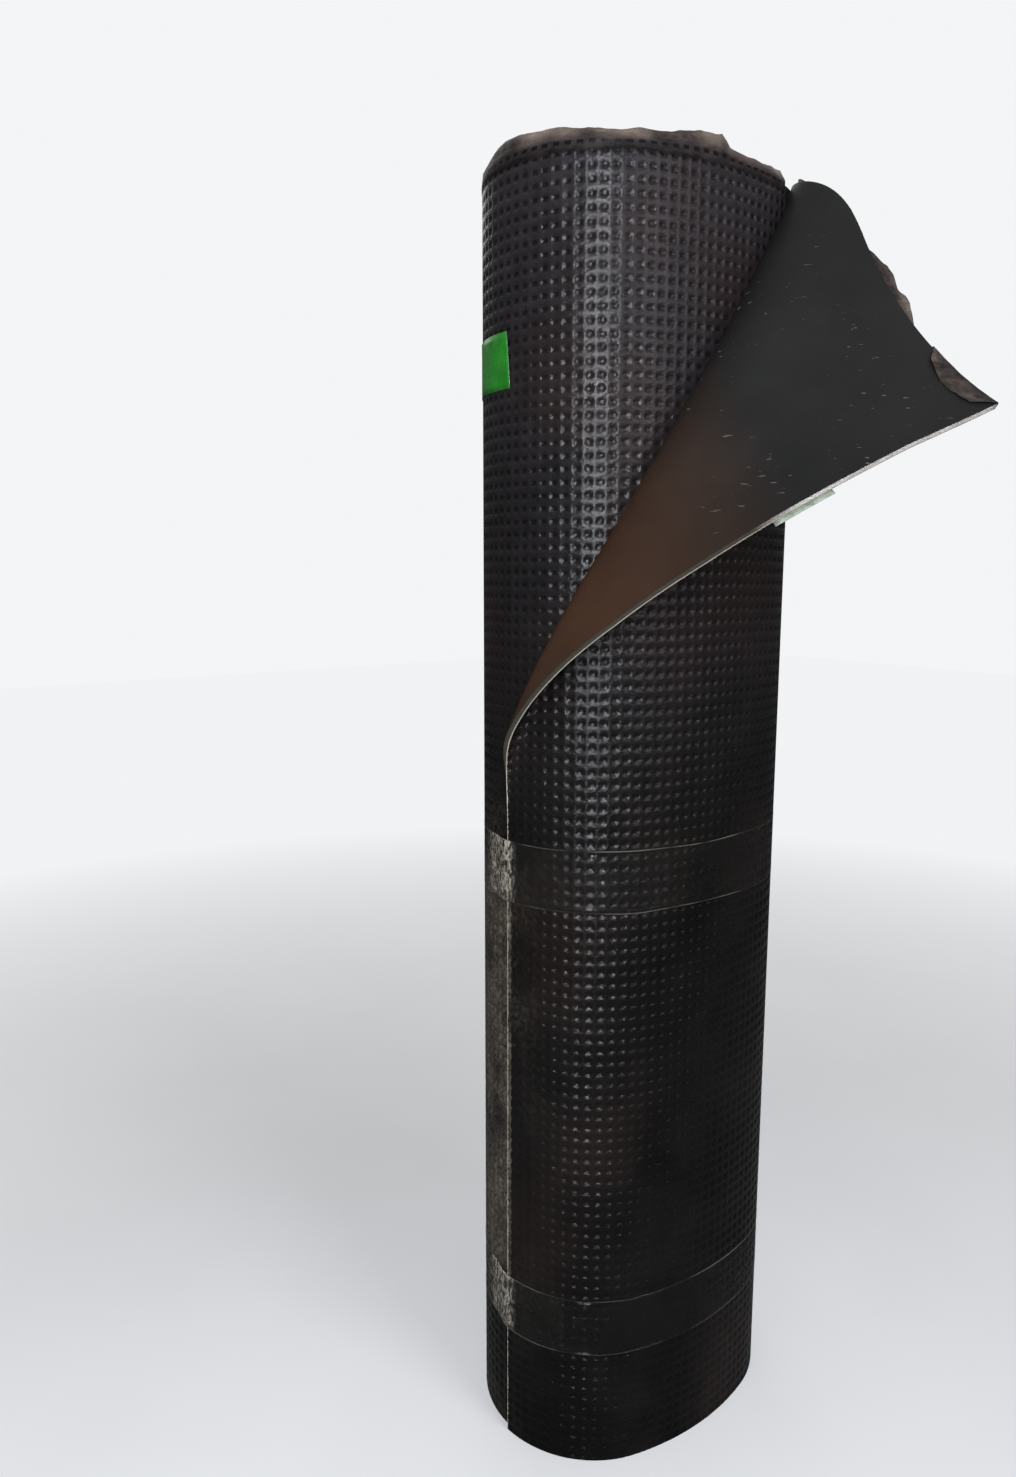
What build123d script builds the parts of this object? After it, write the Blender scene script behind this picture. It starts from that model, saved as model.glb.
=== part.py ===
from build123d import *
from math import atan2, ceil, cos, degrees, hypot, radians, sin, sqrt
import os

# A roll of bitumen roofing felt standing on its end, with the upper corner of its outer
# turn peeled away and folded over. Millimetres, +Z up. The origin is on the floor, on the
# axis of the roll. The roll has sagged out of round, and its long way across lies along X.

# Sheet
sheet_width = 1000.0
sheet_thickness = 4.0
turns = 20

# Oval outline of the roll
oval_half_length = 131.5
oval_half_width = 97.5
oval_nose_radius = 92.0
end_edge_angle = 185.5

# Line between neighbouring turns, on both ends
turn_line_width = 0.8
turn_line_depth = 3.0

# Peeled corner: where the sheet leaves the roll
peel_foot_height = 515.0
peel_top_reach = 270.0
peel_growth = 1.3
peel_cut_margin = 32.0

# Peeled corner: how the loose sheet folds and hangs, at the foot and at the top
fold_radius_foot = 10.0
fold_radius_top = 26.0
flap_azimuth_foot = 215.0
flap_azimuth_top = 274.0
flap_dip_foot = 33.0
flap_dip_top = 64.0
droop_length_foot = 15.0
droop_length_top = 104.0
flap_flare = 0.17
heading_blend = 20.0

# Root of the flap, held inside the turn that it comes from
root_hold = 14.0
foot_hold = 8.0
root_clearance = 0.25

# Tapes
tape_thickness = 0.4
tape_clearance = 0.15
tape_bridge_angle = 12.0
clear_tape_width = 48.0
middle_tape_top = 513.0
lower_tape_top = 144.5
green_tape_width = 40.0
green_tape_drop = 113.0

# Surface film that stands past the sheet's top edge, and how far ribbons stay from the peel
film_thickness = 0.3
film_lap = 6.0
film_rise = 13.0
ribbon_margin = 25.0

# Fineness of the marched and skinned shapes
march_step = 2.0
skin_step = 8.0
normal_probe = 0.5
flap_levels = 16
level_crowding = 1.3
reach_tolerance = 0.01

# Centres of the oval's four arcs. Shifting the two broad ones sideways makes each turn
# end one sheet thickness further in, so the same centres serve every turn.
nose_offset = oval_half_length - oval_nose_radius
flat_gain = oval_half_width - oval_nose_radius
broad_offset = (nose_offset ** 2 - flat_gain ** 2) / (2 * flat_gain)
quarter_pitch = sheet_thickness / 4
broad_shift = quarter_pitch * sqrt(1 + broad_offset ** 2 / (nose_offset ** 2 - quarter_pitch ** 2))
ARC_CENTRES = [
    (-nose_offset, 0.0),
    (-broad_shift, broad_offset),
    (nose_offset, 0.0),
    (broad_shift, -broad_offset),
]
end_edge_radius = oval_nose_radius + sheet_thickness / 2


def mix(foot, top, share):
    """Value part of the way from one at the foot of the peel to one at the top."""
    return foot + (top - foot) * share


def ramp(share):
    """Smooth rise from 0 to 1."""
    share = min(max(share, 0.0), 1.0)
    return share * share * (3 - 2 * share)


def spread(low, high, count):
    """Evenly spaced values from low to high."""
    return [low + (high - low) * k / count for k in range(count + 1)]


def next_centre(index):
    """Distance from one arc's centre to the next, and the angle at which the arcs meet."""
    here, there = ARC_CENTRES[index % 4], ARC_CENTRES[(index + 1) % 4]
    side = -1 if index % 2 == 0 else 1
    dx, dy = side * (there[0] - here[0]), side * (there[1] - here[1])
    return hypot(dx, dy), degrees(atan2(dy, dx))


def wound_arcs(wraps, inset=0.0):
    """Arcs of the spiral, from the end edge inwards: centre, radius, first and last angle."""
    arcs, radius, first = [], end_edge_radius - inset, end_edge_angle
    for index in range(4 * wraps + 1):
        step, last = next_centre(index)
        while last <= first:
            last += 360
        if index == 4 * wraps:
            last = end_edge_angle + 360 * wraps
        arcs.append((ARC_CENTRES[index % 4], radius, first, last))
        radius += step if index % 2 == 0 else -step
        first = last
    return arcs


def arc_point(arc, angle, outward=0.0):
    """Point on one arc of the spiral, moved outwards by a distance."""
    centre, radius = arc[0], arc[1] + outward
    return (centre[0] + radius * cos(radians(angle)), centre[1] + radius * sin(radians(angle)))


def arc_edges(arcs):
    """A stretch of the spiral as curves in the XY plane."""
    edges = []
    for arc in arcs:
        points = [arc_point(arc, angle) for angle in spread(arc[2], arc[3], 2)]
        edges.append(ThreePointArc(*points))
    return edges


def closed_face(edges, start, end):
    """Face inside a run of edges that a straight line closes."""
    return make_face(edges + [Line(start, end)])


def turn_face(inset, bridge_angle=0.0):
    """Area inside one turn of the sheet, with the step where the turn's end lies."""
    arcs = wound_arcs(1, inset)
    centre, radius, first, last = arcs[-1]
    arcs[-1] = (centre, radius, first, last - bridge_angle)
    return closed_face(arc_edges(arcs), arc_point(arcs[-1], arcs[-1][3]), arc_point(arcs[0], end_edge_angle))


def turn_line_groove():
    """Groove that shows the line between neighbouring turns on one end of the roll."""
    outer = wound_arcs(turns - 1, sheet_thickness - turn_line_width / 2)
    inner = wound_arcs(turns - 1, sheet_thickness + turn_line_width / 2)
    first = Line(arc_point(outer[0], outer[0][2]), arc_point(inner[0], inner[0][2]))
    last = Line(arc_point(outer[-1], outer[-1][3]), arc_point(inner[-1], inner[-1][3]))
    return extrude(make_face([first, last] + arc_edges(outer) + arc_edges(inner)), turn_line_depth)


def wound_body():
    """The whole roll before its corner is peeled: oval, bore and the lines between turns."""
    body = extrude(turn_face(0) - turn_face(turns * sheet_thickness), sheet_width)
    groove = turn_line_groove()
    return body - groove - Pos(0, 0, sheet_width - turn_line_depth) * groove


def wrap_place(along):
    """Arc and angle of a place so far along the outer turn from its end edge."""
    for arc in wound_arcs(2):
        length = arc[1] * radians(arc[3] - arc[2])
        if along <= length:
            break
        along -= length
    return arc, arc[2] + degrees(along / arc[1])


def wrap_length():
    """Length of the outer turn, from the end edge once round to the step under it."""
    return sum(arc[1] * radians(arc[3] - arc[2]) for arc in wound_arcs(1))


peel_rise = sheet_width - peel_foot_height


def peel_share(height):
    """How far a height lies between the foot of the peel, 0, and the top, 1."""
    return max((height - peel_foot_height) / peel_rise, 0.0)


def peel_reach(height):
    """Distance from the end edge at which the sheet leaves the roll."""
    return peel_top_reach * peel_share(height) ** peel_growth


def loose_direction(height, loose):
    """Direction in which the loose sheet runs, at a distance from where it leaves the roll."""
    share = peel_share(height)
    leave = peel_reach(height)
    before, after = wrap_place(max(leave - heading_blend, 0.0)), wrap_place(leave + heading_blend)
    heading = (before[1] + after[1]) / 2 - 90
    swing = mix(flap_azimuth_foot, flap_azimuth_top, share) - heading
    fold_length = 1.5 * mix(fold_radius_foot, fold_radius_top, share) * abs(radians(swing))
    droop_length = mix(droop_length_foot, droop_length_top, share)
    azimuth = radians(heading + swing * ramp(loose / fold_length))
    dip = mix(flap_dip_foot, flap_dip_top, share) * ramp(loose / droop_length)
    dip = radians(dip - flap_flare * max(loose - droop_length, 0.0))
    return Vector(cos(azimuth) * cos(dip), sin(azimuth) * cos(dip), -sin(dip))


def sheet_row(alongs, height):
    """Points of the outer turn's middle surface at one height, at rising distances along it."""
    leave = peel_reach(height)
    held = [along for along in alongs if along >= leave]
    points = []
    for along in held:
        arc, angle = wrap_place(along)
        points.append(Vector(*arc_point(arc, angle, -sheet_thickness / 2), height))
    arc, angle = wrap_place(leave)
    point, gone = Vector(*arc_point(arc, angle, -sheet_thickness / 2), height), 0.0
    for along in reversed(alongs[:len(alongs) - len(held)]):
        steps = ceil((leave - along - gone) / march_step)
        step = (leave - along - gone) / steps
        for _ in range(steps):
            point += loose_direction(height, gone + step / 2) * step
            gone += step
        points.insert(0, point)
    return points


def face_row(alongs, height, outward):
    """Points at a distance outwards from the sheet's middle surface."""
    here = sheet_row(alongs, height)
    above = sheet_row(alongs, height + normal_probe)
    below = sheet_row(alongs, height - normal_probe)
    ahead = sheet_row([along + normal_probe for along in alongs], height)
    behind = sheet_row([along - normal_probe for along in alongs], height)
    points = []
    for k, point in enumerate(here):
        normal = (ahead[k] - behind[k]).cross(above[k] - below[k]).normalized()
        points.append(point + normal * outward)
    return points


def skin_solid(heights, first, last, thickness):
    """Solid that follows the sheet from one distance along it to another that depends on height."""
    count = ceil((last(heights[-1]) - first) / skin_step)
    skins = []
    for side in (-thickness / 2, thickness / 2):
        rows = [face_row(spread(first, last(height), count), height, side) for height in heights]
        skins.append(Face.make_surface_from_array_of_points(rows))
    walls = []
    for edge in skins[0].edges():
        partner = min(skins[1].edges(), key=lambda other: (other.center() - edge.center()).length)
        walls.append(Face.make_surface_from_curves(edge, partner))
    return Solid(Shell(skins + walls))


# The outer turn is cut away above a slanting plane, a little further on than the sheet lifts
foot_point = arc_point(wound_arcs(1)[0], end_edge_angle)
top_arc, top_angle = wrap_place(peel_top_reach + peel_cut_margin)
top_point = arc_point(top_arc, top_angle)
cut_span = hypot(top_point[0] - foot_point[0], top_point[1] - foot_point[1])
cut_azimuth = degrees(atan2(top_point[1] - foot_point[1], top_point[0] - foot_point[0]))


def cut_reach(height):
    """Distance from the end edge at which the slanting plane cuts the outer turn."""
    ahead = Vector(cos(radians(cut_azimuth)), sin(radians(cut_azimuth)))
    wanted = cut_span * peel_share(height)
    low, high = 0.0, peel_top_reach + peel_cut_margin
    while high - low > reach_tolerance:
        middle = (low + high) / 2
        arc, angle = wrap_place(middle)
        gone = (Vector(*arc_point(arc, angle)) - Vector(*foot_point)).dot(ahead)
        low, high = (middle, high) if gone < wanted else (low, middle)
    return high


def peel_cutter():
    """Space that the peeled corner has left: the outer turn above the slanting plane."""
    sides = []
    for inset in (-sheet_thickness, sheet_thickness):
        arcs = wound_arcs(1, inset)[:3]
        centre, radius, first, last = arcs[2]
        sides.append(arcs[:2] + [(centre, radius, first, 360 + cut_azimuth)])
    ends = [Line(*[arc_point(arcs[k], arcs[k][2 + j]) for arcs in sides]) for k, j in ((0, 0), (-1, 1))]
    ring = extrude(make_face(arc_edges(sides[0]) + arc_edges(sides[1]) + ends), peel_rise)
    slant = degrees(atan2(peel_rise, cut_span))
    block = Box(*[4 * sheet_width] * 3, align=(Align.CENTER, Align.CENTER, Align.MIN))
    above = Pos(*foot_point, peel_foot_height) * Rot(0, 0, cut_azimuth) * Rot(0, -slant, 0) * block
    return (Pos(0, 0, peel_foot_height) * ring) & above


def flap():
    """The peeled corner of the outer turn, with its root held inside the turn it comes from."""
    low = peel_foot_height - foot_hold
    high = sheet_width - root_clearance
    heights = [mix(low, high, share ** level_crowding) for share in spread(0, 1, flap_levels)]
    return skin_solid(
        heights, root_clearance, lambda height: cut_reach(height) + root_hold,
        sheet_thickness - 2 * root_clearance,
    )


def felt_roll():
    """The wound sheet with its corner peeled away and folded over."""
    return wound_body() - peel_cutter() + flap()


def clear_tape(top):
    """A tape all round the roll, bridging the step at the sheet's end edge."""
    skin = turn_face(-tape_clearance - tape_thickness, tape_bridge_angle)
    inside = turn_face(-tape_clearance, tape_bridge_angle)
    return Pos(0, 0, top - clear_tape_width) * extrude(skin - inside, clear_tape_width)


def arcs_between(first, last, inset):
    """Arcs of the spiral between two distances along the sheet from its end edge."""
    start, end = wrap_place(first)[1], wrap_place(last)[1]
    arcs = []
    for centre, radius, low, high in wound_arcs(2, inset):
        low, high = max(low, start), min(high, end)
        if low < high:
            arcs.append((centre, radius, low, high))
    return arcs


def ribbon(first, last, foot, top, thickness):
    """A thin ribbon stuck on the roll between two distances along the sheet and two heights."""
    outer = arcs_between(first, last, -tape_clearance - thickness)
    inner = arcs_between(first, last, -tape_clearance)
    starts = Line(arc_point(outer[0], outer[0][2]), arc_point(inner[0], inner[0][2]))
    ends = Line(arc_point(outer[-1], outer[-1][3]), arc_point(inner[-1], inner[-1][3]))
    face = make_face(arc_edges(outer) + arc_edges(inner) + [starts, ends])
    return Pos(0, 0, foot) * extrude(face, top - foot)


def green_tape():
    """The tape that held the upper corner, from the peel round the back to its cut end."""
    top = sheet_width - green_tape_drop
    return ribbon(
        peel_reach(top) + ribbon_margin, wrap_length(), top - green_tape_width, top, tape_thickness
    )


def surface_film():
    """The film that stands past the top edge, from the peel round the back and over the bared turn."""
    return ribbon(
        peel_top_reach + ribbon_margin, wrap_length() + peel_top_reach - ribbon_margin,
        sheet_width - film_lap, sheet_width + film_rise, film_thickness,
    )


nodes = {
    "felt_roll": felt_roll(),
    "middle_clear_tape": clear_tape(middle_tape_top),
    "lower_clear_tape": clear_tape(lower_tape_top),
    "green_tape": green_tape(),
    "surface_film": surface_film(),
}

os.makedirs("parts", exist_ok=True)
for name, solid in nodes.items():
    export_step(solid, f"parts/{name}.step")
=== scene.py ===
from math import atan2, cos, degrees, hypot, radians, sin, sqrt

import bmesh
import bpy
import numpy as np
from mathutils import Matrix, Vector, noise


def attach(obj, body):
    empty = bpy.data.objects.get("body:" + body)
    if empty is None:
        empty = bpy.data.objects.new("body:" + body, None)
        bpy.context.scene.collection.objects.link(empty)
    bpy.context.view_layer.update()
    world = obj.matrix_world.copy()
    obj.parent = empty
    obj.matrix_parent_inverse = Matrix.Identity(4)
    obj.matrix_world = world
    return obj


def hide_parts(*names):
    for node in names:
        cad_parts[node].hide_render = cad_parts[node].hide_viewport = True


# A roll of bitumen roofing felt, dressed over its CAD frame. Metres, +Z up, floor at z = 0.
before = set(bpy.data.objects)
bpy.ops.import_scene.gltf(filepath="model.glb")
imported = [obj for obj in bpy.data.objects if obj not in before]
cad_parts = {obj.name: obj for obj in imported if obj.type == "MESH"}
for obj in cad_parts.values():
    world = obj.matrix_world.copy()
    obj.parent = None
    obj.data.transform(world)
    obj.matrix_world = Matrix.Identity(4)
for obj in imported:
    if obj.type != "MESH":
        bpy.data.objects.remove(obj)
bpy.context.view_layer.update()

# Sheet and oval, as in the CAD source
SHEET_WIDTH, SHEET, TURNS = 1.0, 0.004, 20
HALF_LENGTH, HALF_WIDTH, NOSE_RADIUS = 0.1315, 0.0975, 0.092
END_EDGE_ANGLE = 185.5

# Peeled corner, as in the CAD source
PEEL_FOOT, PEEL_REACH, PEEL_GROWTH, PEEL_MARGIN = 0.515, 0.270, 1.3, 0.032
FOLD_RADIUS = (0.010, 0.026)
FLAP_AZIMUTH = (215.0, 274.0)
FLAP_DIP = (33.0, 64.0)
DROOP_LENGTH = (0.015, 0.104)
FLAP_FLARE = 170.0
HEADING_BLEND = 0.020

# Tapes
CLEAR_TAPE_WIDTH = 0.048
MIDDLE_TAPE_TOP, LOWER_TAPE_TOP = 0.513, 0.1445
GREEN_TAPE_TOP, GREEN_TAPE_WIDTH, GREEN_TAPE_OVERHANG = 0.887, 0.040, 0.0040

# Embossed pattern
PIT_ROWS, PIT_SPACING = 111, 0.0084
PIT_PITCH_UP = SHEET_WIDTH / PIT_ROWS
PIT_STOPS_ROUND = (0.0, 0.16, 0.26, 0.50, 0.74, 0.84)
PIT_STOPS_UP = (0.0, 0.24, 0.35, 0.50, 0.65, 0.76)
PIT_DEPTHS = (0.0, 0.0, 1.0, 0.88, 1.0, 0.0)
PIT_DEPTH = 0.00085
SKIN_DEPTH = 0.0009

# Gap left inside each turn, and the stretch of the last turn that lines the bore
TURN_GAP, BORE_ROUND = 0.0004, 0.36

# Bared stretch of the next turn: pits across, first row of pits, and how far it runs on under the outer turn
BARED_COLUMNS, BARED_FOOT_ROW, BARED_LAP = 38, 56, 0.02


# The oval spiral

def arc_centres():
    """Centres of the four arcs of a turn. The broad ones are shifted, so each turn ends one sheet in."""
    nose = HALF_LENGTH - NOSE_RADIUS
    gain = HALF_WIDTH - NOSE_RADIUS
    broad = (nose ** 2 - gain ** 2) / (2 * gain)
    quarter = SHEET / 4
    shift = quarter * sqrt(1 + broad ** 2 / (nose ** 2 - quarter ** 2))
    return [(-nose, 0.0), (-shift, broad), (nose, 0.0), (shift, -broad)]


def wound_arcs(wraps):
    """Arcs of the spiral from the end edge inwards: centre, radius, first angle and length."""
    centres = arc_centres()
    arcs, radius, first = [], NOSE_RADIUS + SHEET / 2, END_EDGE_ANGLE
    for index in range(4 * wraps + 1):
        here, there = centres[index % 4], centres[(index + 1) % 4]
        side = -1 if index % 2 == 0 else 1
        dx, dy = side * (there[0] - here[0]), side * (there[1] - here[1])
        last = degrees(atan2(dy, dx))
        while last <= first:
            last += 360
        if index == 4 * wraps:
            last = END_EDGE_ANGLE + 360 * wraps
        arcs.append((*here, radius, radians(first), radius * radians(last - first)))
        radius += hypot(dx, dy) if index % 2 == 0 else -hypot(dx, dy)
        first = last
    return np.array(arcs)


SPIRAL = wound_arcs(TURNS)
SPIRAL_STARTS = np.concatenate([[0.0], np.cumsum(SPIRAL[:, 4])[:-1]])
TURN_LENGTH = wound_arcs(1)[:, 4].sum()
SPIRAL_LENGTH = SPIRAL[:, 4].sum()
TURN_COLUMNS = round(TURN_LENGTH / PIT_SPACING)
PIT_PITCH_ROUND = TURN_LENGTH / TURN_COLUMNS


def spiral_angle(along):
    """Angle of the sheet's outward normal, in radians, at a distance along it from the end edge."""
    arc = np.clip(np.searchsorted(SPIRAL_STARTS, along, "right") - 1, 0, len(SPIRAL) - 1)
    return SPIRAL[arc, 3] + (along - SPIRAL_STARTS[arc]) / SPIRAL[arc, 2], arc


def spiral_point(along, outward):
    """Points of the spiral, moved outwards from the sheet's outer face."""
    angle, arc = spiral_angle(along)
    radius = SPIRAL[arc, 2] + outward
    return SPIRAL[arc, 0] + radius * np.cos(angle), SPIRAL[arc, 1] + radius * np.sin(angle)


# The sheet's outer turn with its peeled corner

def ramp(share):
    share = np.clip(share, 0.0, 1.0)
    return share * share * (3 - 2 * share)


def mix(ends, share):
    return ends[0] + (ends[1] - ends[0]) * share


def peel_share(height):
    return max((height - PEEL_FOOT) / (SHEET_WIDTH - PEEL_FOOT), 0.0)


def peel_leave(height):
    """Distance from the end edge at which the sheet leaves the roll."""
    return PEEL_REACH * peel_share(height) ** PEEL_GROWTH


def loose_path(height, length):
    """Distances and offsets of the loose sheet, from the place where it leaves the roll."""
    share, leave = peel_share(height), peel_leave(height)
    around = spiral_angle(np.array([max(leave - HEADING_BLEND, 0.0), leave + HEADING_BLEND]))[0]
    heading = degrees(around.mean()) - 90
    swing = mix(FLAP_AZIMUTH, share) - heading
    fold = 1.5 * mix(FOLD_RADIUS, share) * abs(radians(swing))
    droop = mix(DROOP_LENGTH, share)
    steps = max(int(length / 0.0005), 2)
    run = np.linspace(0, length, steps + 1)
    middle = (run[1:] + run[:-1]) / 2
    azimuth = np.radians(heading + swing * ramp(middle / fold))
    flare = FLAP_FLARE * np.maximum(middle - droop, 0)
    dip = np.radians(mix(FLAP_DIP, share) * ramp(middle / droop) - flare)
    path = np.zeros((3, steps + 1))
    path[0, 1:] = np.cumsum(np.cos(azimuth) * np.cos(dip))
    path[1, 1:] = np.cumsum(np.sin(azimuth) * np.cos(dip))
    path[2, 1:] = np.cumsum(-np.sin(dip))
    return run, path * (length / steps)


def sheet_row(alongs, height):
    """Points of the sheet's middle surface at one height."""
    leave = peel_leave(height)
    x, y = spiral_point(np.maximum(alongs, leave), -SHEET / 2)
    row = np.stack([x, y, np.full_like(x, height)], axis=1)
    loose = alongs < leave
    if loose.any():
        run, path = loose_path(height, leave - alongs.min() + 1e-6)
        for axis in range(3):
            row[loose, axis] += np.interp(leave - alongs[loose], run, path[axis])
    return row


def sheet_grid(alongs, heights):
    """Points and outward normals of the sheet's middle surface, rows by height."""
    rows = np.broadcast_to(alongs, (len(heights), np.shape(alongs)[-1]))
    points = np.array([sheet_row(row, height) for row, height in zip(rows, heights)])
    normals = np.cross(np.gradient(points, axis=1), np.gradient(points, axis=0))
    return points, normals / np.linalg.norm(normals, axis=2, keepdims=True)


def bared_reach(height):
    """Distance from the end edge up to which the next turn can be seen behind the peeled corner."""
    return (PEEL_REACH + PEEL_MARGIN) * peel_share(height) ** (1 / PEEL_GROWTH)


# Mesh helpers

def grid_piece(name, points, uv=None):
    """Grid of quads whose corners are the points, rows by columns."""
    rows, columns = points.shape[:2]
    bm = bmesh.new()
    bmesh.ops.create_grid(bm, x_segments=columns - 1, y_segments=rows - 1, size=0.5)
    mesh = bpy.data.meshes.new(name)
    bm.to_mesh(mesh)
    bm.free()
    flat = np.empty(rows * columns * 3, dtype=np.float32)
    mesh.vertices.foreach_get("co", flat)
    flat = flat.reshape(-1, 3)
    column = np.rint((flat[:, 0] + 0.5) * (columns - 1)).astype(int)
    row = np.rint((flat[:, 1] + 0.5) * (rows - 1)).astype(int)
    mesh.vertices.foreach_set("co", points[row, column].astype(np.float32).ravel())
    if uv is not None:
        layer = mesh.uv_layers.new(name="sheet")
        corner = np.empty(len(mesh.loops), dtype=np.int32)
        mesh.loops.foreach_get("vertex_index", corner)
        layer.data.foreach_set("uv", uv[row, column][corner].astype(np.float32).ravel())
    piece = bpy.data.objects.new(name, mesh)
    bpy.context.scene.collection.objects.link(piece)
    return piece


def dress(piece, slot, *materials):
    """Gives a finished piece its materials, smooth shading and body. The slot argument is not used."""
    for material in materials:
        piece.data.materials.append(material)
    piece.data.shade_smooth()
    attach(piece, "root")
    return piece


def sheet_uv(alongs, heights):
    return np.stack(np.meshgrid(alongs, heights), axis=2)


def ripple(points, scale, seed):
    """Smooth noise, about -1 to 1, at each point of a grid."""
    flat = points.reshape(-1, 3)
    values = [noise.noise(Vector(p) * scale + Vector((seed, seed * 1.7, -seed))) for p in flat]
    return np.array(values).reshape(points.shape[:2])


# Embossed faces

def pit_corners(first, last, pitch, stops):
    """Distances at which the relief has corners, and its depth there, over whole pits."""
    starts = np.arange(first, last)[:, None]
    places = ((starts + np.array(stops)[None, :]) * pitch).ravel()
    depths = np.tile(np.array(PIT_DEPTHS), last - first)
    return np.append(places, last * pitch), np.append(depths, 0.0)


def tape_press(heights):
    """How much of the relief stays under the clear tapes, which press on it."""
    keep = np.ones_like(heights)
    for top in (MIDDLE_TAPE_TOP, LOWER_TAPE_TOP):
        inside = (heights > top - CLEAR_TAPE_WIDTH - 0.001) & (heights < top + 0.001)
        keep[inside] = 0.85
    return keep


def embossed_face(name, first, last, turn_start=0.0, foot=0):
    """Embossed skin over whole pits of one stretch of the sheet, from one column of pits to another."""
    alongs, deep_round = pit_corners(first, last, PIT_PITCH_ROUND, PIT_STOPS_ROUND)
    heights, deep_up = pit_corners(foot, PIT_ROWS, PIT_PITCH_UP, PIT_STOPS_UP)
    if turn_start:
        x, y = spiral_point(alongs + turn_start, 0.0)
        angle = spiral_angle(alongs + turn_start)[0]
        points = np.empty((len(heights), len(alongs), 3))
        points[..., 0], points[..., 1], points[..., 2] = x, y, heights[:, None]
        normals = np.zeros_like(points)
        normals[..., 0], normals[..., 1] = np.cos(angle), np.sin(angle)
    else:
        points, normals = sheet_grid(alongs, heights)
        points = points + normals * (SHEET / 2)
    relief = np.minimum.outer(deep_up, deep_round) * tape_press(heights)[:, None]
    points = points - normals * (relief * PIT_DEPTH)[..., None]
    return grid_piece(name, points, sheet_uv(alongs + turn_start, heights))


# Materials

def node(tree, kind, at=(0, 0), **values):
    made = tree.nodes.new(kind)
    made.location = at
    for key, value in values.items():
        setattr(made, key, value)
    return made


def noise_value(tree, source, scale, detail=4.0, roughness=0.5, stretch=None):
    """Noise read from a coordinate socket, stretched through a Mapping node if asked."""
    if stretch:
        mapping = node(tree, "ShaderNodeMapping")
        mapping.inputs["Scale"].default_value = stretch
        tree.links.new(source, mapping.inputs["Vector"])
        source = mapping.outputs["Vector"]
    made = node(tree, "ShaderNodeTexNoise")
    made.inputs["Scale"].default_value = scale
    made.inputs["Detail"].default_value = detail
    made.inputs["Roughness"].default_value = roughness
    tree.links.new(source, made.inputs["Vector"])
    return made.outputs["Fac"]


def remap(tree, value, low, high, to_low=0.0, to_high=1.0):
    made = node(tree, "ShaderNodeMapRange", clamp=True)
    made.inputs["From Min"].default_value = low
    made.inputs["From Max"].default_value = high
    made.inputs["To Min"].default_value = to_low
    made.inputs["To Max"].default_value = to_high
    tree.links.new(value, made.inputs["Value"])
    return made.outputs["Result"]


def maths(tree, operation, first, second=None):
    made = node(tree, "ShaderNodeMath", operation=operation)
    for socket, value in zip(made.inputs, (first, second)):
        if value is None:
            continue
        if isinstance(value, (int, float)):
            socket.default_value = value
        else:
            tree.links.new(value, socket)
    return made.outputs["Value"]


def multiply(tree, first, *others):
    """Product of several sockets or numbers."""
    for other in others:
        first = maths(tree, "MULTIPLY", first, other)
    return first


def separate(tree, source):
    """The three parts of a vector socket."""
    split = node(tree, "ShaderNodeSeparateXYZ")
    tree.links.new(source, split.inputs["Vector"])
    return split.outputs


def feed(tree, shader, **sockets):
    """Gives inputs of a shader, named with underscores, a socket to read or a number."""
    for name, value in sockets.items():
        entry = shader.inputs[name.replace("_", " ")]
        if isinstance(value, (int, float)):
            entry.default_value = value
        else:
            tree.links.new(value, entry)


def blend(tree, factor, first, second):
    made = node(tree, "ShaderNodeMix", data_type="RGBA")
    for socket, value in ((made.inputs[0], factor), (made.inputs[6], first), (made.inputs[7], second)):
        if isinstance(value, (int, float)):
            socket.default_value = value
        elif isinstance(value, tuple):
            socket.default_value = (*value, 1.0)
        else:
            tree.links.new(value, socket)
    return made.outputs[2]


def bump(tree, height, strength, distance, normal=None):
    made = node(tree, "ShaderNodeBump")
    made.inputs["Strength"].default_value = strength
    made.inputs["Distance"].default_value = distance
    tree.links.new(height, made.inputs["Height"])
    if normal:
        tree.links.new(normal, made.inputs["Normal"])
    return made.outputs["Normal"]


def talc_group():
    """Dust mask: pale talc in patches and specks, thicker low down and beside the end edge."""
    group = bpy.data.node_groups.new("talc_dust", "ShaderNodeTree")
    for name, kind, value in (("Vector", "NodeSocketVector", None), ("Amount", "NodeSocketFloat", 0.5)):
        socket = group.interface.new_socket(name, in_out="INPUT", socket_type=kind)
        if value is not None:
            socket.default_value = value
    group.interface.new_socket("Mask", in_out="OUTPUT", socket_type="NodeSocketFloat")
    entry, leave = node(group, "NodeGroupInput"), node(group, "NodeGroupOutput")
    vector = entry.outputs["Vector"]
    patches = remap(group, noise_value(group, vector, 9.0, 5.0, 0.62), 0.50, 0.74)
    grains = remap(group, noise_value(group, vector, 260.0, 4.0, 0.75), 0.40, 0.70)
    specks = remap(group, noise_value(group, vector, 150.0, 3.0, 0.5), 0.70, 0.74)
    dusty = maths(group, "MULTIPLY", patches, grains)
    both = maths(group, "ADD", dusty, maths(group, "MULTIPLY", specks, 0.35))
    group.links.new(maths(group, "MULTIPLY", both, entry.outputs["Amount"]), leave.inputs["Mask"])
    return group


TALC = talc_group()


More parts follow.
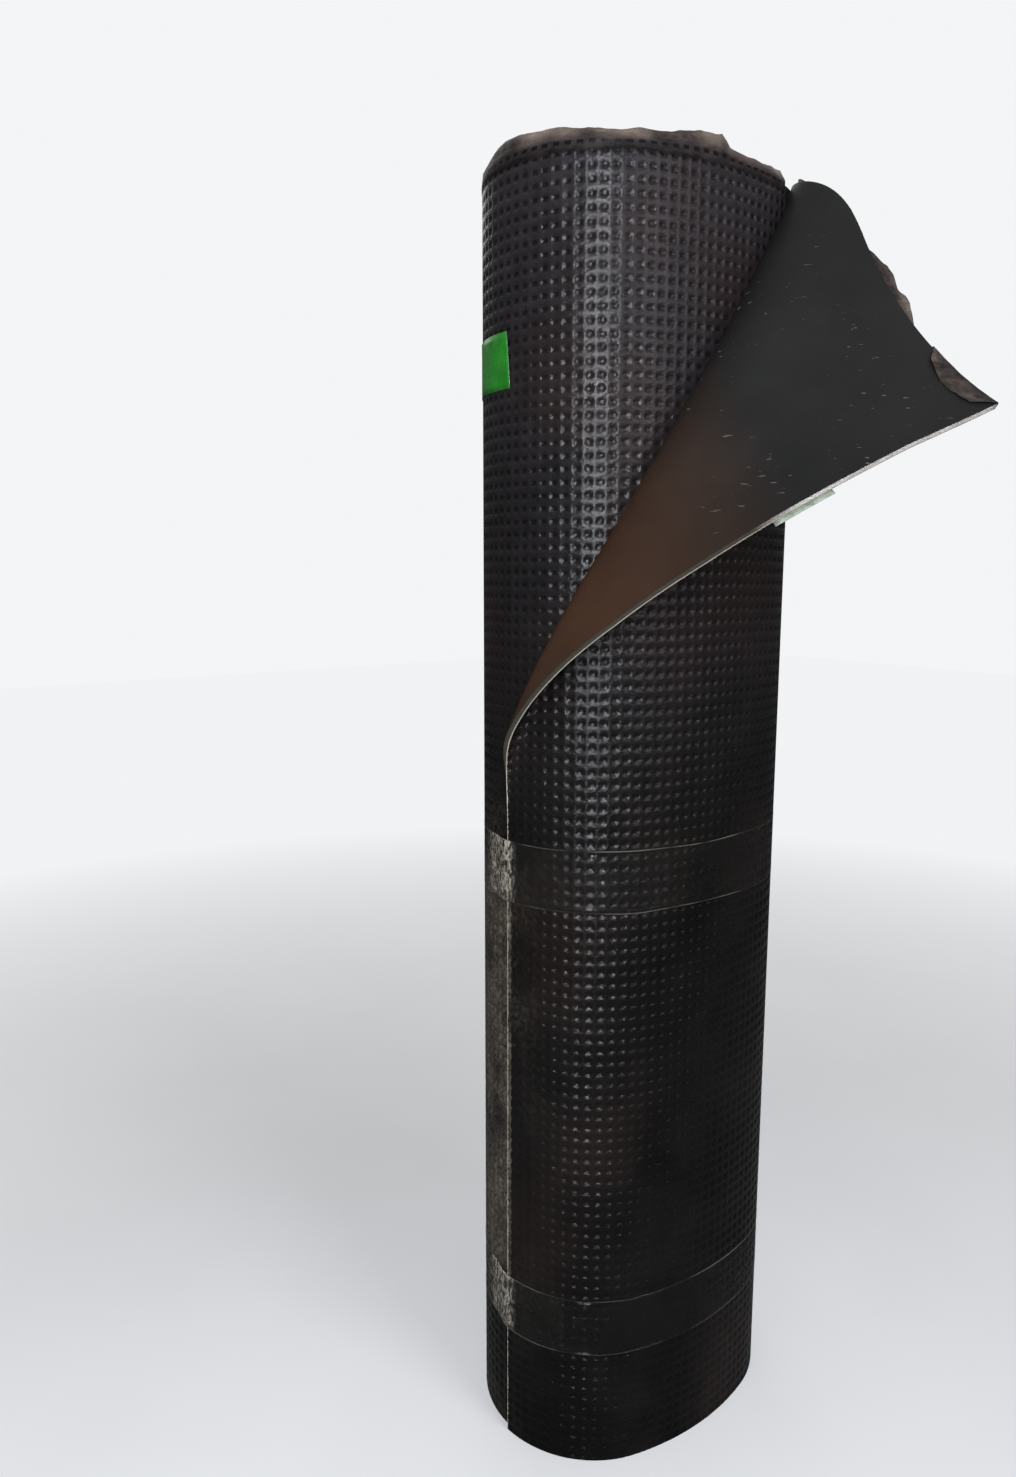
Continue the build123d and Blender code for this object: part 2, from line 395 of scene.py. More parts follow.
def pits_group():
    """Mask of the embossed pits, from the distance along the sheet and the height on it, used to paint shade
    into the pits.
    """
    group = bpy.data.node_groups.new("embossed_pits", "ShaderNodeTree")
    for name in ("Along", "Height"):
        group.interface.new_socket(name, in_out="INPUT", socket_type="NodeSocketFloat")
    group.interface.new_socket("Mask", in_out="OUTPUT", socket_type="NodeSocketFloat")
    entry, leave = node(group, "NodeGroupInput"), node(group, "NodeGroupOutput")
    masks = []
    for name, pitch, inner, outer in (
        ("Along", PIT_PITCH_ROUND, 0.23, 0.32), ("Height", PIT_PITCH_UP, 0.14, 0.24),
    ):
        share = maths(group, "FRACT", maths(group, "DIVIDE", entry.outputs[name], pitch))
        off = maths(group, "ABSOLUTE", maths(group, "SUBTRACT", share, 0.5))
        masks.append(remap(group, off, outer, inner))
    group.links.new(maths(group, "MULTIPLY", *masks), leave.inputs["Mask"])
    return group


PITS = pits_group()


def pit_shade_mask(tree, along, height):
    made = node(tree, "ShaderNodeGroup", node_tree=PITS)
    tree.links.new(along, made.inputs["Along"])
    tree.links.new(height, made.inputs["Height"])
    return made.outputs["Mask"]


def start_material(name):
    """New material with its tree, Principled node and object coordinates."""
    material = bpy.data.materials.new(name)
    material.use_nodes = True
    tree = material.node_tree
    return material, tree, tree.nodes["Principled BSDF"], node(tree, "ShaderNodeTexCoord").outputs["Object"]


def talc_mask(tree, vector, amount):
    made = node(tree, "ShaderNodeGroup", node_tree=TALC)
    tree.links.new(vector, made.inputs["Vector"])
    if isinstance(amount, (int, float)):
        made.inputs["Amount"].default_value = amount
    else:
        tree.links.new(amount, made.inputs["Amount"])
    return made.outputs["Mask"]


def end_edge_dust(tree, vector):
    """More talc on the strip that lies just before the end edge, from the middle tape down."""
    x, y, z = separate(tree, vector)
    near_edge = multiply(tree, remap(tree, x, -0.118, -0.127), remap(tree, y, -0.045, 0.0))
    low = multiply(tree, remap(tree, z, 0.57, 0.49), remap(tree, z, -0.2, 0.35, 0.2, 1.0))
    return maths(tree, "ADD", 0.006, multiply(tree, near_edge, low, 0.3))


def bared_strip_dust(tree, vector, height):
    """Fine dust on the strip that shows beyond the end edge, from the middle tape down to the lower one."""
    x, y, z = separate(tree, vector)
    strip = multiply(tree, remap(tree, y, -0.0138, -0.0122), remap(tree, y, 0.075, 0.035))
    strip = multiply(tree, strip, remap(tree, x, -0.08, -0.10))
    stretch = multiply(tree, remap(tree, height, 0.50, 0.47), remap(tree, height, 0.10, 0.16))
    cloud = remap(tree, noise_value(tree, vector, 24.0, 5.0, 0.65), 0.30, 0.62)
    grain = remap(tree, noise_value(tree, vector, 330.0, 4.0, 0.75), 0.32, 0.68)
    return multiply(tree, strip, stretch, cloud, grain)


def sheet_place(tree):
    """Distance along the sheet and height on it, from the piece's own map."""
    return separate(tree, node(tree, "ShaderNodeUVMap", uv_map="sheet").outputs["UV"])[:2]


def embossed_material():
    """Black bitumen under thin film: dark, glossy, greyer towards the top on the land between the pits, with
    painted shade left in the pits, dusty, with a frayed end edge.
    """
    material, tree, shader, vector = start_material("embossed_bitumen")
    along, height = sheet_place(tree)
    clouds = remap(tree, noise_value(tree, vector, 11.0, 5.0, 0.6), 0.38, 0.66)
    colour = blend(tree, clouds, (0.0018, 0.0019, 0.0015), (0.0054, 0.0047, 0.0043))
    # Painted shade: the grey that grows towards the top is held back in the pits, so they stay darker than
    # the land.
    pit_shade_factor = remap(tree, pit_shade_mask(tree, along, height), 0, 1, 1.0, 0.26)
    top_grey_and_pit_shade = remap(tree, noise_value(tree, vector, 75.0, 5.0, 0.7), 0.30, 0.70, 0.35, 1.0)
    top_grey_and_pit_shade = multiply(tree, remap(tree, height, 0.50, 0.98, 0.04, 1.0), pit_shade_factor, top_grey_and_pit_shade)
    colour = blend(tree, top_grey_and_pit_shade, colour, (0.0210, 0.0178, 0.0200))
    rust = remap(tree, noise_value(tree, vector, 7.0, 3.0, 0.5), 0.50, 0.66)
    colour = blend(tree, multiply(tree, rust, 0.5), colour, (0.0150, 0.0092, 0.0084))
    strip_dust = multiply(tree, bared_strip_dust(tree, vector, height), 0.42)
    dust = maths(tree, "MAXIMUM", talc_mask(tree, vector, end_edge_dust(tree, vector)), strip_dust)
    colour = blend(tree, dust, colour, (0.30, 0.255, 0.20))
    fray = noise_value(tree, vector, 320.0, 3.0, 0.6)
    edge = maths(tree, "LESS_THAN", along, remap(tree, fray, 0.35, 0.65, 0.0002, 0.0012))
    colour = blend(tree, edge, colour, (0.30, 0.27, 0.21))
    gloss = remap(tree, noise_value(tree, vector, 48.0, 4.0, 0.65), 0.32, 0.72, 0.14, 0.34)
    dull = multiply(tree, maths(tree, "MAXIMUM", dust, edge), 0.5)
    slack = noise_value(tree, vector, 38.0, 2.0, 0.5, (1.0, 1.0, 0.6))
    wrinkle = noise_value(tree, vector, 300.0, 4.0, 0.62, (1.0, 1.0, 1.7))
    normal = bump(tree, wrinkle, 0.62, 0.0008, bump(tree, slack, 0.35, 0.004))
    feed(tree, shader, Base_Color=colour, Roughness=maths(tree, "ADD", gloss, dull), Normal=normal)
    feed(tree, shader, Specular_IOR_Level=0.15)
    return material


def inner_face_material():
    """The sheet's smooth reverse: near-black, with a brown tint low on the flap and faint dashes."""
    material, tree, shader, vector = start_material("smooth_reverse")
    along, height = sheet_place(tree)
    clouds = remap(tree, noise_value(tree, vector, 9.0, 5.0, 0.6), 0.3, 0.7)
    dark = blend(tree, clouds, (0.0066, 0.0066, 0.0064), (0.0105, 0.0101, 0.0096))
    brown_tint = blend(tree, clouds, (0.027, 0.0118, 0.0060), (0.046, 0.0215, 0.0112))
    colour = blend(tree, remap(tree, height, 0.87, 0.72), dark, brown_tint)
    dashes = remap(tree, noise_value(tree, vector, 300.0, 1.0, 0.5, (0.42, 0.42, 2.0)), 0.715, 0.745)
    field = multiply(tree, remap(tree, height, 0.985, 0.95), remap(tree, height, 0.80, 0.84))
    patches = remap(tree, noise_value(tree, vector, 16.0, 2.0), 0.44, 0.56)
    colour = blend(tree, multiply(tree, dashes, field, patches, 0.40), colour, (0.16, 0.15, 0.14))
    gloss = remap(tree, noise_value(tree, vector, 30.0, 4.0, 0.6), 0.3, 0.7, 0.42, 0.56)
    leather = bump(tree, noise_value(tree, vector, 340.0, 3.0, 0.6), 0.22, 0.0004)
    feed(tree, shader, Base_Color=colour, Roughness=gloss, Normal=leather, Specular_IOR_Level=0.13)
    return material


def cut_edge_material():
    """Cut edge of the sheet: dark bitumen, and pale dusty mat fibres on the end edge near the corner."""
    material, tree, shader, vector = start_material("cut_edge")
    along, height = sheet_place(tree)
    fibres = remap(tree, noise_value(tree, vector, 900.0, 3.0, 0.6), 0.35, 0.65)
    smears = remap(tree, noise_value(tree, vector, 60.0, 4.0, 0.6), 0.3, 0.7)
    dusty = multiply(tree, remap(tree, height, 0.835, 0.870), remap(tree, along, 0.004, 0.002))
    dark = blend(tree, fibres, (0.018, 0.015, 0.010), (0.048, 0.040, 0.027))
    pale = blend(tree, fibres, (0.46, 0.42, 0.40), (0.74, 0.70, 0.68))
    colour = blend(tree, multiply(tree, smears, 0.4), blend(tree, dusty, dark, pale), (0.040, 0.034, 0.026))
    rough = remap(tree, fibres, 0, 1, 0.75, 0.95)
    feed(tree, shader, Base_Color=colour, Roughness=rough, Normal=bump(tree, fibres, 0.6, 0.0006))
    return material


def turn_ends_material():
    """Ends of the wound turns: dark bitumen with pale mat fibres showing in places."""
    material, tree, shader, vector = start_material("turn_ends")
    smears = remap(tree, noise_value(tree, vector, 45.0, 5.0, 0.65), 0.42, 0.68)
    fibres = remap(tree, noise_value(tree, vector, 800.0, 3.0, 0.6), 0.4, 0.62)
    colour = blend(tree, multiply(tree, smears, fibres), (0.012, 0.011, 0.0105), (0.16, 0.145, 0.12))
    rough = remap(tree, smears, 0, 1, 0.45, 0.85)
    feed(tree, shader, Base_Color=colour, Roughness=rough, Normal=bump(tree, fibres, 0.5, 0.0005))
    return material


def tape_edge_glints(tree, height):
    """Painted glint: a thin pale line along both long edges of each clear tape."""
    half = CLEAR_TAPE_WIDTH / 2
    distances = [
        maths(tree, "ABSOLUTE", maths(tree, "SUBTRACT", height, top - half))
        for top in (MIDDLE_TAPE_TOP, LOWER_TAPE_TOP)
    ]
    return remap(tree, maths(tree, "MINIMUM", *distances), half - 0.0009, half - 0.0003)


def clear_tape_material():
    """Clear packing tape: almost unseen, with pale creases, paler where it bridges the step at the end edge,
    a painted glint along its long edges, and a gloss of its own.
    """
    material, tree, shader, vector = start_material("clear_packing_tape")
    along, height = sheet_place(tree)
    bridge_start = remap(tree, along, TURN_LENGTH - 0.045, TURN_LENGTH - 0.022)
    bridge = multiply(tree, bridge_start, remap(tree, along, TURN_LENGTH + 0.011, TURN_LENGTH + 0.003))
    creases = remap(tree, noise_value(tree, vector, 150.0, 3.0, 0.6, (1.0, 1.0, 0.4)), 0.56, 0.70)
    haze = remap(tree, noise_value(tree, vector, 30.0, 4.0, 0.6, (1.0, 1.0, 2.0)), 0.45, 0.75)
    fine = remap(tree, noise_value(tree, vector, 340.0, 4.0, 0.7, (1.0, 1.0, 0.6)), 0.45, 0.58, 0.10, 0.95)
    pale = multiply(tree, creases, maths(tree, "ADD", bridge, 0.04))
    pale = maths(tree, "MAXIMUM", pale, multiply(tree, bridge, fine))
    glint_patches = remap(tree, noise_value(tree, vector, 26.0, 2.0, 0.5, (1.0, 1.0, 0.1)), 0.40, 0.60, 0.12, 0.55)
    # Painted glint along the tape's long edges, in patches.
    pale = maths(tree, "MAXIMUM", pale, multiply(tree, tape_edge_glints(tree, height), glint_patches))
    colour = blend(tree, pale, (0.020, 0.021, 0.018), (0.40, 0.36, 0.29))
    alpha = maths(tree, "ADD", multiply(tree, haze, 0.05), 0.03)
    alpha = maths(tree, "ADD", alpha, multiply(tree, pale, 0.75))
    pucker = bump(tree, noise_value(tree, vector, 90.0, 3.0, 0.55, (1.0, 1.0, 0.35)), 0.35, 0.0012)
    gloss = remap(tree, haze, 0, 1, 0.10, 0.24)
    feed(tree, shader, Base_Color=colour, Alpha=alpha, Roughness=gloss, Normal=pucker)
    return material


def green_tape_material():
    """Green tape: bright glossy plastic with fine ribs along it."""
    material, tree, shader, vector = start_material("green_adhesive_tape")
    clouds = remap(tree, noise_value(tree, vector, 60.0, 4.0, 0.6), 0.3, 0.7)
    colour = blend(tree, clouds, (0.006, 0.105, 0.006), (0.014, 0.205, 0.012))
    ribs = bump(tree, noise_value(tree, vector, 60.0, 2.0, 0.5, (0.5, 0.5, 22.0)), 0.35, 0.0008)
    feed(tree, shader, Base_Color=colour, Normal=ribs, Roughness=remap(tree, clouds, 0, 1, 0.18, 0.32))
    return material


def tape_adhesive_material():
    """Sticky side of the green tape: pale, milky green."""
    material, tree, shader, vector = start_material("green_tape_adhesive")
    clouds = remap(tree, noise_value(tree, vector, 160.0, 4.0, 0.6), 0.35, 0.65)
    colour = blend(tree, clouds, (0.095, 0.115, 0.085), (0.20, 0.225, 0.175))
    rough = remap(tree, clouds, 0, 1, 0.35, 0.6)
    feed(tree, shader, Base_Color=colour, Roughness=rough, Normal=bump(tree, clouds, 0.5, 0.0006))
    return material


def fringe_film_material():
    """Film that stands past the top edge: dark over the felt's rim, thin and tan towards its ragged edge."""
    material, tree, shader, vector = start_material("ragged_film")
    along, height = sheet_place(tree)
    clouds = remap(tree, noise_value(tree, vector, 70.0, 6.0, 0.7, (1.0, 1.0, 2.0)), 0.34, 0.66)
    patches = remap(tree, noise_value(tree, vector, 17.0, 3.0, 0.5, (1.0, 1.0, 0.2)), 0.42, 0.60, 0.15, 1.0)
    off_corner = remap(tree, along, 0.06, 0.10, 0.45, 1.0)
    outer = multiply(tree, remap(tree, height, 0.005, 0.016), patches, off_corner)
    dark = blend(tree, clouds, (0.0060, 0.0052, 0.0052), (0.026, 0.020, 0.020))
    # Painted shade: the pits of the relief are painted darker on the film.
    dark = blend(tree, pit_shade_mask(tree, along, height), dark, (0.004, 0.0036, 0.0036))
    tan = blend(tree, clouds, (0.050, 0.034, 0.026), (0.205, 0.150, 0.116))
    thin = multiply(tree, outer, remap(tree, clouds, 0, 1, 0.34, 0.08))
    alpha = multiply(tree, maths(tree, "SUBTRACT", 0.96, thin), remap(tree, height, 0.0001, 0.0012))
    crumple = bump(tree, noise_value(tree, vector, 120.0, 4.0, 0.6, (1.0, 1.0, 2.6)), 0.6, 0.002)
    feed(tree, shader, Base_Color=blend(tree, outer, dark, tan), Alpha=alpha, Normal=crumple, Roughness=0.40)
    feed(tree, shader, Specular_IOR_Level=remap(tree, outer, 0, 0.5, 0.05, 0.25))
    return material


EMBOSSED = embossed_material()
REVERSE = inner_face_material()
CUT_EDGE = cut_edge_material()
TURN_ENDS = turn_ends_material()
CLEAR_TAPE = clear_tape_material()
GREEN_TAPE = green_tape_material()
TAPE_ADHESIVE = tape_adhesive_material()
FRINGE_FILM = fringe_film_material()


# Pieces of felt

def sharpen_border(piece):
    """Marks the open border as sharp, so that the rim added to it is shaded as a cut edge."""
    bm = bmesh.new()
    bm.from_mesh(piece.data)
    for edge in bm.edges:
        edge.smooth = not edge.is_boundary
    bm.to_mesh(piece.data)
    bm.free()


def outer_turn_body():
    """The outer turn's sheet under its embossed skin, with its real thickness and cut edges."""
    fine_columns, fine_row = 36, 57
    alongs = np.concatenate([np.arange(0, fine_columns, 0.5), np.arange(fine_columns, TURN_COLUMNS + 1)])
    alongs = alongs * PIT_PITCH_ROUND
    heights = np.concatenate([np.arange(0, fine_row), np.arange(fine_row, PIT_ROWS + 0.1, 0.5)])
    heights = heights * PIT_PITCH_UP
    points, normals = sheet_grid(alongs, heights)
    points = points - normals * (SKIN_DEPTH / 2)
    piece = grid_piece("felt_outer_turn", points, sheet_uv(alongs, heights))
    sharpen_border(piece)
    thick = piece.modifiers.new("sheet_thickness", "SOLIDIFY")
    thick.thickness = SHEET - SKIN_DEPTH
    thick.offset = 0.0
    thick.material_offset_rim = 1
    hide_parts("felt_roll")
    return dress(piece, "bitumen_felt", REVERSE, CUT_EDGE)


def rimmed(piece, depth):
    """Turns the open border of a skin in by a small depth, so that it has an edge."""
    bm = bmesh.new()
    bm.from_mesh(piece.data)
    bm.normal_update()
    border = [edge for edge in bm.edges if edge.is_boundary]
    for edge in border:
        edge.smooth = False
    inward = {vert: vert.normal.copy() for edge in border for vert in edge.verts}
    made = bmesh.ops.extrude_edge_only(bm, edges=border)["geom"]
    for vert in (item for item in made if isinstance(item, bmesh.types.BMVert)):
        old = next(edge.other_vert(vert) for edge in vert.link_edges if edge.other_vert(vert) in inward)
        vert.co -= inward[old] * depth
    bm.to_mesh(piece.data)
    bm.free()


def embossed_faces():
    """Embossed outer skin of the outer turn in four widths, and of the bared stretch of the next turn."""
    names = ("embossed_face_flap", "embossed_face_right", "embossed_face_back", "embossed_face_left")
    ends = [TURN_COLUMNS * share // len(names) for share in range(len(names) + 1)]
    for name, first, last in zip(names, ends, ends[1:]):
        piece = embossed_face(name, first, last)
        rimmed(piece, SKIN_DEPTH)
        dress(piece, "bitumen_felt", EMBOSSED)
    piece = embossed_face("embossed_face_bared", 0, BARED_COLUMNS, TURN_LENGTH, BARED_FOOT_ROW)
    bm = bmesh.new()
    bm.from_mesh(piece.data)
    layer = bm.loops.layers.uv.active
    covered = []
    for face in bm.faces:
        along, height = face.loops[0][layer].uv
        if along - TURN_LENGTH > bared_reach(height) + BARED_LAP:
            covered.append(face)
    bmesh.ops.delete(bm, geom=covered, context="FACES")
    bm.to_mesh(piece.data)
    bm.free()
    dress(piece, "bitumen_felt", EMBOSSED)


def spiral_stations(wraps, nose_steps=18, broad_steps=10):
    """Distances along the sheet at the same angles in every turn."""
    places = []
    for index, (start, arc) in enumerate(zip(SPIRAL_STARTS, SPIRAL)):
        steps = nose_steps if index % 2 == 0 else broad_steps
        places += list(start + arc[4] * np.arange(steps) / steps)
    return np.array(places + [SPIRAL_LENGTH])


def level_grid(x, y, levels):
    """Grid of points over an outline, repeated at each level."""
    shape = (len(levels), len(x))
    return np.stack([np.broadcast_to(part, shape) for part in (x, y, levels[:, None])], axis=2)


def end_points(stations, up, drop):
    """One coiled end: each turn's end is a rounded ridge, a little lower in some places than in others."""
    profile = [
        (0.0, -0.003), (0.00025, -0.0006), (0.0008, 0.0), (0.0032, 0.0), (0.00375, -0.0006), (0.004, -0.003),
    ]
    points = np.empty((len(profile), len(stations), 3))
    for row, (inset, lift) in enumerate(profile):
        x, y = spiral_point(stations, -inset - TURN_GAP)
        level = lift if lift < -0.002 else lift - drop
        points[row, :, 0], points[row, :, 1] = x, y
        points[row, :, 2] = SHEET_WIDTH + level if up else -level
    return points


def wound_turns():
    """The turns under the outer one: both coiled ends, the bore and the face below the embossed skin."""
    stations = spiral_stations(TURNS)
    stations = stations[stations >= TURN_LENGTH - 1e-6]
    wander = [noise.noise(Vector((cos(s * 8.3) * 1.5, sin(s * 8.3) * 1.5, s * 1.9))) for s in stations]
    drop = 0.0007 * (1 + np.array(wander))
    levels = np.linspace(0.003, SHEET_WIDTH - 0.003, 12)
    bore = spiral_point(stations[stations >= SPIRAL_LENGTH - BORE_ROUND], -SHEET - TURN_GAP)
    under = spiral_point(stations[stations <= 2 * TURN_LENGTH], -0.0014)
    parts = [
        grid_piece("coiled_end", end_points(stations, True, drop)),
        grid_piece("coiled_end", end_points(stations, False, drop)[:, ::-1]),
        grid_piece("bore_wall", level_grid(*bore, levels)[:, ::-1]),
        grid_piece("under_wall", level_grid(*under, levels)),
    ]
    bm = bmesh.new()
    for part in parts:
        bm.from_mesh(part.data)
        bpy.data.objects.remove(part)
    bmesh.ops.remove_doubles(bm, verts=bm.verts, dist=0.00002)
    mesh = bpy.data.meshes.new("felt_wound_turns")
    bm.to_mesh(mesh)
    bm.free()
    piece = bpy.data.objects.new("felt_wound_turns", mesh)
    bpy.context.scene.collection.objects.link(piece)
    return dress(piece, "bitumen_felt", TURN_ENDS)


# Tapes and film

def tape_points(top, columns=320, rows=9):
    """A clear tape round the outer turn, which bridges the step at the end edge and laps over its start."""
    lap, bridge_length = 0.055, 0.022
    run = np.linspace(0, TURN_LENGTH + lap, columns)
    heights = np.linspace(top - CLEAR_TAPE_WIDTH, top, rows)
    x, y = spiral_point(np.where(run > TURN_LENGTH, run - TURN_LENGTH, run), 0.0)
    angle = spiral_angle(run)[0]
    lift = 0.0003 + 0.00025 * (run > TURN_LENGTH)
    bridge = SHEET * ramp((run - (TURN_LENGTH - bridge_length)) / bridge_length) * (run <= TURN_LENGTH)
    lift = lift + bridge
    points = np.empty((rows, columns, 3))
    points[..., 0] = x + lift * np.cos(angle)
    points[..., 1] = y + lift * np.sin(angle)
    points[..., 2] = heights[:, None]
    wave = ripple(points, 22.0, top * 9)
    points[..., 2] += 0.0009 * wave
    pucker = 0.00035 * np.maximum(ripple(points * np.array([1, 1, 2.5]), 75.0, top * 5), 0)
    points[..., 0] += pucker * np.cos(angle)
    points[..., 1] += pucker * np.sin(angle)
    return points, sheet_uv(run, heights)


def clear_tape(name, node_name, top):
    points, uv = tape_points(top)
    piece = grid_piece(name, points, uv)
    thick = piece.modifiers.new("tape_thickness", "SOLIDIFY")
    thick.thickness, thick.offset = 0.00012, 1.0
    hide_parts(node_name)
    return dress(piece, "clear_tape", CLEAR_TAPE)


def green_tape():
    """The green tape, from its slanting cut beside the end edge round the back and onto the flap."""
    run = np.linspace(-GREEN_TAPE_OVERHANG, TURN_LENGTH - 0.001, 260)
    heights = np.linspace(GREEN_TAPE_TOP - GREEN_TAPE_WIDTH, GREEN_TAPE_TOP, 9)
    slant = 0.0040 * np.linspace(0, 1, len(heights))[:, None] * (run / TURN_LENGTH)
    points, normals = sheet_grid(run - slant, heights)
    lift = SHEET / 2 + 0.00035 + 0.00045 * np.maximum(ripple(points, 60.0, 3.0), 0)
    piece = grid_piece("cut_green_tape", points + normals * lift[..., None], sheet_uv(run, heights))
    thick = piece.modifiers.new("tape_thickness", "SOLIDIFY")
    thick.thickness, thick.offset = 0.00015, 1.0
    thick.material_offset = 1
    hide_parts("green_tape")
    return dress(piece, "green_tape", GREEN_TAPE, TAPE_ADHESIVE)


# Film past the top edge: distance along the sheet, length of film, and its turn towards the axis in radians
FRINGE = np.array([
    (0.000, 0.010, 2.9), (0.010, 0.023, 3.1), (0.035, 0.028, 3.15), (0.056, 0.018, 3.0),
    (0.066, 0.0035, 3.0), (0.074, 0.0030, 0.6), (0.085, 0.005, 0.4), (0.105, 0.012, 0.1),
    (0.140, 0.013, 0.0), (0.158, 0.005, -0.5), (0.200, 0.003, -0.8), (0.240, 0.004, -0.6),
    (0.256, 0.007, -0.1), (0.263, 0.007, 0.2), (0.272, 0.006, 0.4), (0.300, 0.012, 0.6),
    (0.400, 0.016, 0.8), (0.520, 0.010, 0.6), (0.620, 0.014, 0.6), (0.670, 0.008, 0.3),
    (0.690, 0.006, 0.3), (0.704, 0.010, 0.3), (0.713, 0.017, 0.4), (0.738, 0.018, 0.5),
    (0.760, 0.018, 0.6), (0.795, 0.015, 0.6), (0.820, 0.010, 0.6), (0.845, 0.012, 0.6),
    (0.865, 0.015, 0.5), (0.885, 0.018, 0.4), (0.903, 0.019, 0.3), (0.908, 0.010, 0.4),
    (0.925, 0.006, 0.5), (0.940, 0.008, 0.4), (0.955, 0.009, 0.4), (0.975, 0.010, 0.3),
    (0.983, 0.005, 0.4), (1.000, 0.003, 0.5),
])
FRINGE_TURN = 0.0086


def fringe_film():
    """Ragged film past the sheet's top edge, folded over the flap's reverse near its corner."""
    run = np.linspace(0.001, TURN_LENGTH + PEEL_REACH - 0.03, 720)
    probe = np.array([SHEET_WIDTH - 0.004, SHEET_WIDTH - 0.002, SHEET_WIDTH])
    base, normals = sheet_grid(run, probe)
    top, normal = base[2], normals[2]
    up = base[2] - base[1]
    up /= np.linalg.norm(up, axis=1, keepdims=True)
    length = np.interp(run, FRINGE[:, 0], FRINGE[:, 1])
    bend = np.interp(run, FRINGE[:, 0], FRINGE[:, 2])
    coarse = np.array([noise.noise(Vector((place * 45.0, 3.1, 0))) for place in run])
    fine = np.array([noise.noise(Vector((place * 160.0, 7.7, 0))) for place in run])
    length = length * (1 + 0.16 * (coarse + 0.35 * fine))
    rows = 16
    points = np.empty((rows, len(run), 3))
    place = top + normal * (SHEET / 2 + 0.0003)
    points[0] = place - up * 0.006
    points[1] = place - up * 0.001
    here = points[1].copy()
    gone = np.zeros(len(run))
    step = (length + 0.001) / (rows - 2)
    for row in range(2, rows):
        angle = bend * ramp((gone + step / 2 - 0.0005) / FRINGE_TURN)
        here = here + (up * np.cos(angle)[:, None] - normal * np.sin(angle)[:, None]) * step[:, None]
        gone = gone + step
        points[row] = here
    ruffle = ripple(points * np.array([1.0, 1.0, 2.2]), 42.0, 2.0) * np.linspace(0, 1, rows)[:, None] ** 1.5
    lifted = ramp((0.075 - run) / 0.01)
    ruffle = np.where(lifted > 0.5, -0.25 * np.abs(ruffle), ruffle)
    points += normal[None] * (ruffle * 0.0035)[..., None]
    piece = grid_piece("ragged_film", points, sheet_uv(run, np.linspace(0, 0.02, rows)))
    thick = piece.modifiers.new("film_thickness", "SOLIDIFY")
    thick.thickness, thick.offset = 0.0001, 1.0
    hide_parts("surface_film")
    return dress(piece, "surface_film", FRINGE_FILM)


outer_turn_body()
embossed_faces()
wound_turns()
clear_tape("packing_tape_middle", "middle_clear_tape", MIDDLE_TAPE_TOP)
clear_tape("packing_tape_lower", "lower_clear_tape", LOWER_TAPE_TOP)
green_tape()
fringe_film()


# Stage, light and camera

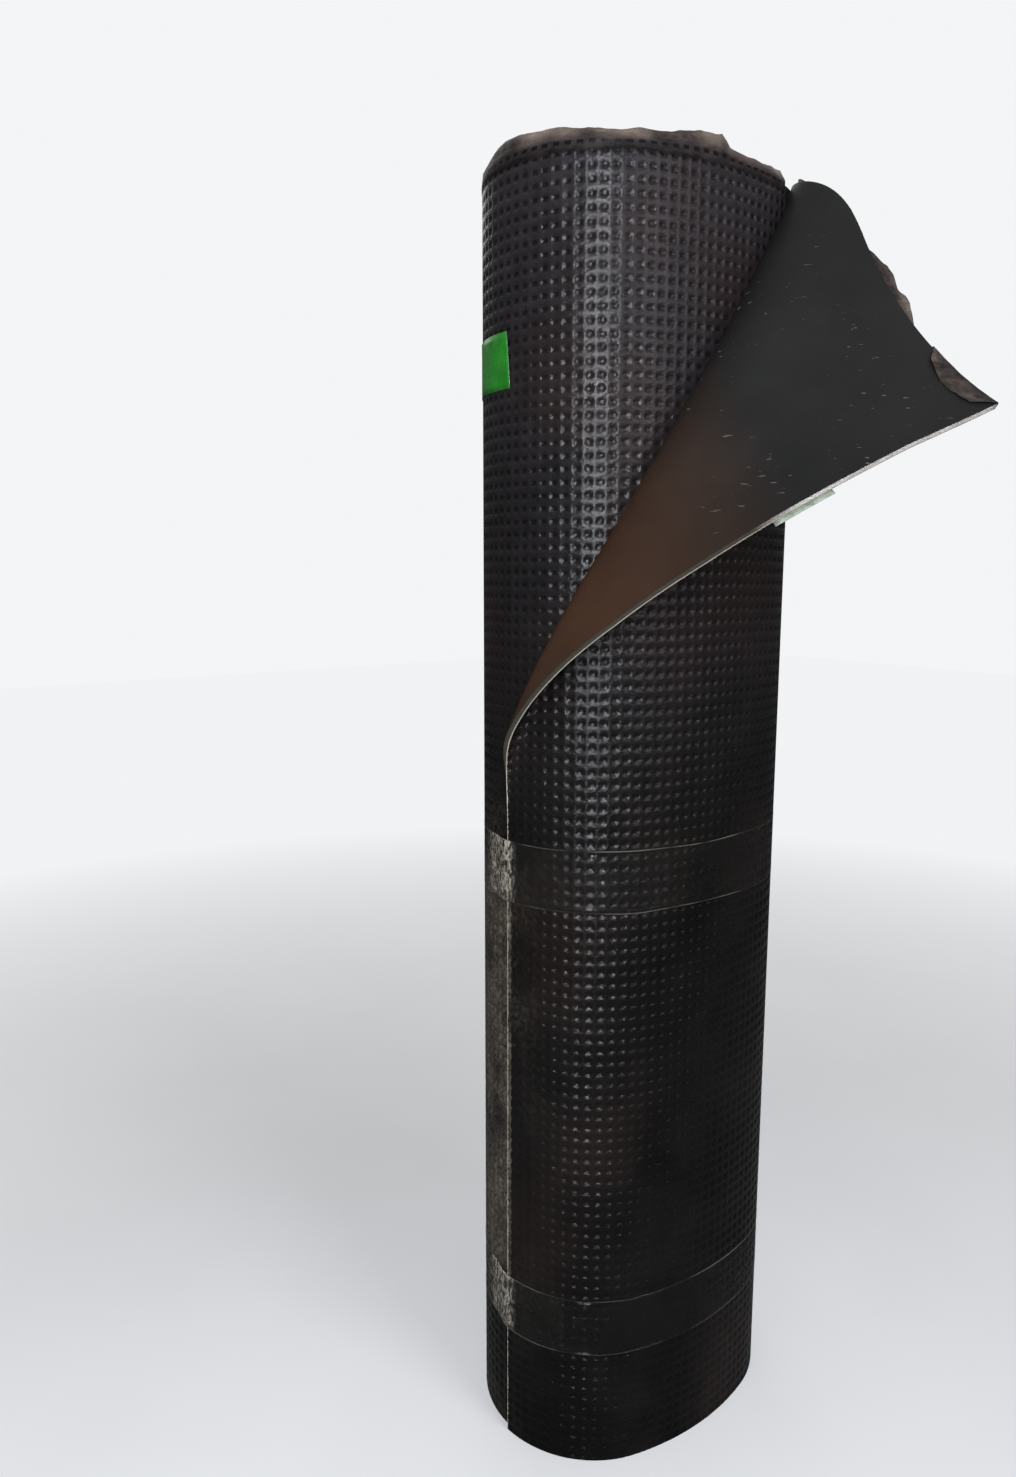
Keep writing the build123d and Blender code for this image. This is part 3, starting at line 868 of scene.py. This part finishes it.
def studio():
    """Pale floor, white surroundings for the camera, a tall key light, a soft fill and a back light."""
    bm = bmesh.new()
    bmesh.ops.create_grid(bm, x_segments=1, y_segments=1, size=6.0)
    mesh = bpy.data.meshes.new("floor")
    bm.to_mesh(mesh)
    bm.free()
    floor = bpy.data.objects.new("floor", mesh)
    bpy.context.scene.collection.objects.link(floor)
    material, tree, shader, vector = start_material("pale_floor")
    clouds = remap(tree, noise_value(tree, vector, 3.0, 3.0), 0.3, 0.7)
    pale = blend(tree, clouds, (0.66, 0.655, 0.65), (0.70, 0.695, 0.69))
    seen = node(tree, "ShaderNodeLightPath").outputs["Is Camera Ray"]
    distance = node(tree, "ShaderNodeVectorMath", operation="LENGTH")
    tree.links.new(vector, distance.inputs[0])
    far = multiply(tree, remap(tree, distance.outputs["Value"], 0.45, 2.0), seen)
    colour = blend(tree, seen, (0.13, 0.13, 0.13), pale)
    colour = blend(tree, far, colour, (0.0, 0.0, 0.0))
    shader.inputs["Emission Color"].default_value = (0.98, 0.99, 1.0, 1.0)
    feed(tree, shader, Base_Color=colour, Emission_Strength=multiply(tree, far, 0.90))
    feed(tree, shader, Roughness=0.8, Specular_IOR_Level=0.0)
    mesh.materials.append(material)

    world = bpy.data.worlds.new("soft_surroundings")
    bpy.context.scene.world = world
    world.use_nodes = True
    tree = world.node_tree
    background = tree.nodes["Background"]
    background.inputs["Color"].default_value = (0.98, 0.99, 1.0, 1.0)
    path = node(tree, "ShaderNodeLightPath")
    seen = maths(tree, "MAXIMUM", path.outputs["Is Camera Ray"], path.outputs["Is Transmission Ray"])
    split = node(tree, "ShaderNodeSeparateXYZ")
    tree.links.new(node(tree, "ShaderNodeTexCoord").outputs["Generated"], split.inputs["Vector"])
    overhead = remap(tree, split.outputs[2], 0.05, 0.75, 0.07, 0.42)
    shown = node(tree, "ShaderNodeMix", data_type="FLOAT")
    tree.links.new(seen, shown.inputs[0])
    tree.links.new(overhead, shown.inputs[2])
    shown.inputs[3].default_value = 0.92
    tree.links.new(shown.outputs[0], background.inputs["Strength"])

    for name, place, aim, size, power, colour in (
        ("key", (-1.36, -1.46, 1.16), (0.0, 0.0, 0.66), (0.16, 1.20), 70.0, (0.90, 0.94, 1.0)),
        ("fill", (0.17, -1.99, 1.40), (0.0, 0.0, 0.90), (0.9, 1.0), 19.0, (0.95, 0.94, 1.0)),
        ("back", (0.6, 1.6, 2.0), (0.0, 0.0, 0.6), (1.2, 1.2), 5.0, (1.0, 1.0, 1.0)),
    ):
        light = bpy.data.lights.new(name, "AREA")
        light.shape = "RECTANGLE"
        light.size, light.size_y = size
        light.energy = power
        light.color = colour
        lamp = bpy.data.objects.new(name, light)
        bpy.context.scene.collection.objects.link(lamp)
        lamp.location = place
        lamp.rotation_euler = (Vector(aim) - Vector(place)).to_track_quat("-Z", "Y").to_euler()


def photo_camera():
    """Camera at the place and angle that the photograph was taken from."""
    data = bpy.data.cameras.new("camera")
    data.sensor_fit = "HORIZONTAL"
    data.sensor_width = 36.0
    data.lens = 37.8
    camera = bpy.data.objects.new("camera", data)
    bpy.context.scene.collection.objects.link(camera)
    camera.location = (-0.59279, -0.65752, 0.72451)
    camera.rotation_euler = Vector((0.57094, 0.80443, -0.16407)).to_track_quat("-Z", "Y").to_euler()
    bpy.context.scene.camera = camera


studio()
photo_camera()
bpy.context.scene.view_settings.view_transform = "Standard"
